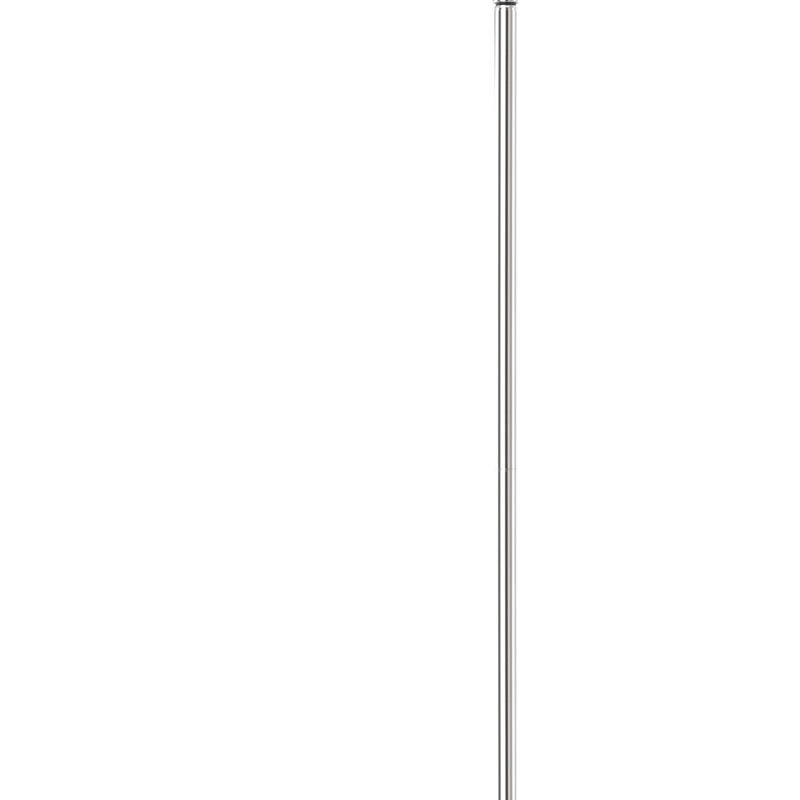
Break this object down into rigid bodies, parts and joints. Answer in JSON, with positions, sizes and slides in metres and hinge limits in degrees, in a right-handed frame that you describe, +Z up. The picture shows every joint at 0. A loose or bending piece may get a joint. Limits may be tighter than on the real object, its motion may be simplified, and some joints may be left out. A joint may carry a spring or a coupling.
{
  "type": "flag pole stand",
  "caption": "Indoor flag pole in chromed screw-together sections on a heavy round floor stand, with a thumb screw socket and a ball finial.",
  "frame": {"origin": "middle of the face that stands on the floor", "axes": "+Z up along the pole, +X towards the thumb screw's knob"},
  "size_m": [0.3, 0.3, 2.1406],
  "materials": {
    "chrome": "bright polished chrome plate on steel",
    "turned_steel": "turned bright steel with fine tool lines",
    "zinc_steel": "zinc plate, slightly blue",
    "black_steel": "black oxide spring steel",
    "cast_iron": "black-painted sand casting",
    "black_rubber": "matt black moulded rubber",
    "nylon": "natural off-white nylon"
  },
  "bodies": {
    "stand": {"floor_ring": "black_rubber", "bottom_plate": "zinc_steel", "bottom_plate_screw_1": "zinc_steel", "bottom_plate_screw_2": "zinc_steel", "bottom_plate_screw_3": "zinc_steel", "base_weight": "cast_iron", "base_cover": "chrome", "tie_washer": "zinc_steel", "tie_spring_washer": "zinc_steel", "tie_bolt": "zinc_steel", "socket_flange": "chrome", "socket_tube": "chrome", "socket_plug": "turned_steel", "socket_bush_lower": "nylon", "socket_bush_upper": "nylon", "socket_cap": "chrome", "clamp_boss": "chrome"},
    "clamp_pad": {"clamp_pad": "nylon"},
    "clamp_screw": {"clamp_screw": "turned_steel", "clamp_knob": "chrome"},
    "thrust_pad": {"thrust_pad": "nylon"},
    "pole_section_1": {"pole_foot": "turned_steel", "pole_tube_1": "chrome", "male_insert_1": "turned_steel"},
    "joint_ring_1": {"joint_ring_1": "chrome"},
    "pole_section_2": {"female_insert_2": "turned_steel", "pole_tube_2": "chrome", "male_insert_2": "turned_steel"},
    "joint_ring_2": {"joint_ring_2": "chrome"},
    "pole_section_3": {"female_insert_3": "turned_steel", "pole_tube_3": "chrome", "male_insert_3": "turned_steel"},
    "joint_ring_3": {"joint_ring_3": "chrome"},
    "pole_section_4": {"female_insert_4": "turned_steel", "pole_tube_4": "chrome", "top_plug": "chrome"},
    "finial_washer": {"finial_washer": "black_steel"},
    "finial": {"finial_base": "chrome", "finial_stud": "turned_steel", "finial_ball_insert": "turned_steel", "finial_ball": "chrome"}
  },
  "joints": [
    {"name": "clamp_advance", "type": "slide", "parent": "stand", "child": "clamp_pad", "axis": [1, 0, 0], "range_m": [0, 0.006]},
    {"name": "clamp_turn", "type": "hinge", "parent": "clamp_pad", "child": "clamp_screw", "pos_m": [0.03, 0, 0.13628], "axis": [1, 0, 0], "range_deg": [0, 1728]},
    {"name": "pole_turn", "type": "hinge", "parent": "stand", "child": "thrust_pad", "pos_m": [0, 0, 0.06738], "axis": [0, 0, 1], "continuous": true},
    {"name": "pole_lift", "type": "slide", "parent": "thrust_pad", "child": "pole_section_1", "axis": [0, 0, 1], "range_m": [0, 0.1]},
    {"name": "joint_1_turn", "type": "hinge", "parent": "pole_section_1", "child": "joint_ring_1", "pos_m": [0, 0, 0.56738], "axis": [0, 0, 1], "range_deg": [0, 2520]},
    {"name": "joint_1_rise", "type": "slide", "parent": "joint_ring_1", "child": "pole_section_2", "axis": [0, 0, 1], "range_m": [0, 0.014]},
    {"name": "joint_2_turn", "type": "hinge", "parent": "pole_section_2", "child": "joint_ring_2", "pos_m": [0, 0, 1.06738], "axis": [0, 0, 1], "range_deg": [0, 2520]},
    {"name": "joint_2_rise", "type": "slide", "parent": "joint_ring_2", "child": "pole_section_3", "axis": [0, 0, 1], "range_m": [0, 0.014]},
    {"name": "joint_3_turn", "type": "hinge", "parent": "pole_section_3", "child": "joint_ring_3", "pos_m": [0, 0, 1.56738], "axis": [0, 0, 1], "range_deg": [0, 2520]},
    {"name": "joint_3_rise", "type": "slide", "parent": "joint_ring_3", "child": "pole_section_4", "axis": [0, 0, 1], "range_m": [0, 0.014]},
    {"name": "finial_turn", "type": "hinge", "parent": "pole_section_4", "child": "finial_washer", "pos_m": [0, 0, 2.06738], "axis": [0, 0, 1], "range_deg": [0, 2160]},
    {"name": "finial_rise", "type": "slide", "parent": "finial_washer", "child": "finial", "axis": [0, 0, 1], "range_m": [0, 0.009]}
  ],
  "couplings": [
    {"joint": "clamp_turn", "follows": "clamp_advance", "rad_per_m": 5026.5},
    {"joint": "joint_1_turn", "follows": "joint_1_rise", "rad_per_m": 3141.6},
    {"joint": "joint_2_turn", "follows": "joint_2_rise", "rad_per_m": 3141.6},
    {"joint": "joint_3_turn", "follows": "joint_3_rise", "rad_per_m": 3141.6},
    {"joint": "finial_turn", "follows": "finial_rise", "rad_per_m": 4188.8}
  ]
}
